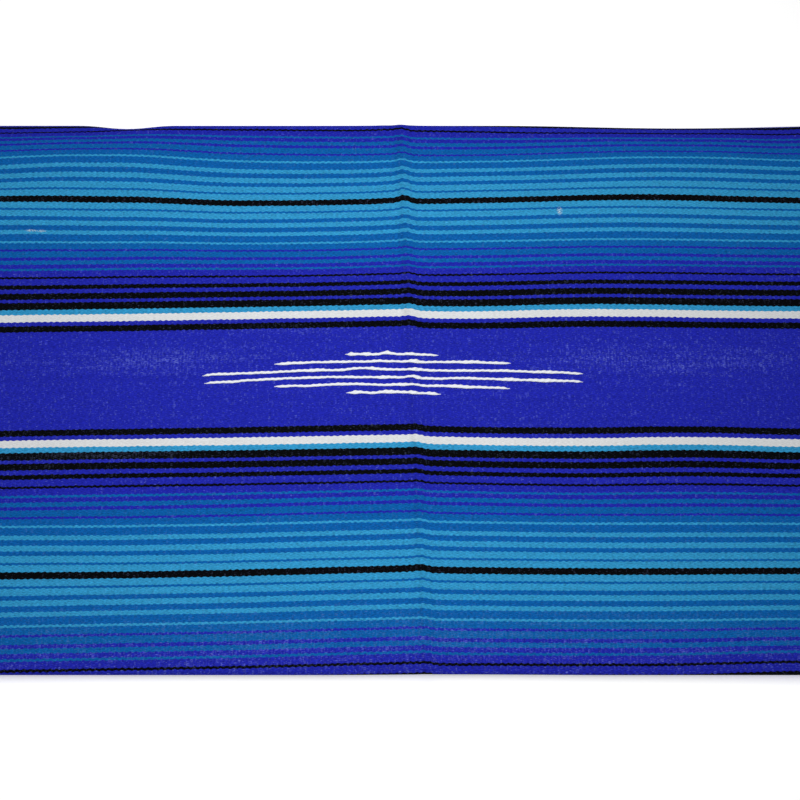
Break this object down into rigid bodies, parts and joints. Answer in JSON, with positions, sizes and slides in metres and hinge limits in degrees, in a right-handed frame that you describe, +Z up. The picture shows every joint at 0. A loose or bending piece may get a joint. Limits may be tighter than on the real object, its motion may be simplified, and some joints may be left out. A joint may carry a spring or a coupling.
{
  "type": "folded mexican serape blanket",
  "caption": "Handwoven serape blanket folded in four and laid flat, with graded weft stripes, an inlaid white lozenge and a warp fringe tucked inside.",
  "frame": {"origin": "centre of the flat underside of the folded blanket", "axes": "+X along the weft, from selvedge to selvedge; +Y towards the far fold; +Z up, away from the surface it rests on"},
  "size_m": [1.532, 0.5515, 0.0185],
  "materials": {
    "serape_web": "matt soft-spun weft, royal and turquoise blues with black and white stripes",
    "warp_fringe": "undyed plied warp, matt",
    "inlaid_yarn": "thick soft white yarn, matt"
  },
  "bodies": {
    "root": {"outer_web": "serape_web", "inner_layers": "serape_web", "fringe_lower": "warp_fringe", "fringe_upper": "warp_fringe", "inlay_1": "inlaid_yarn", "inlay_2": "inlaid_yarn", "inlay_3": "inlaid_yarn", "inlay_4": "inlaid_yarn", "inlay_5": "inlaid_yarn", "inlay_6": "inlaid_yarn"}
  },
  "joints": []
}
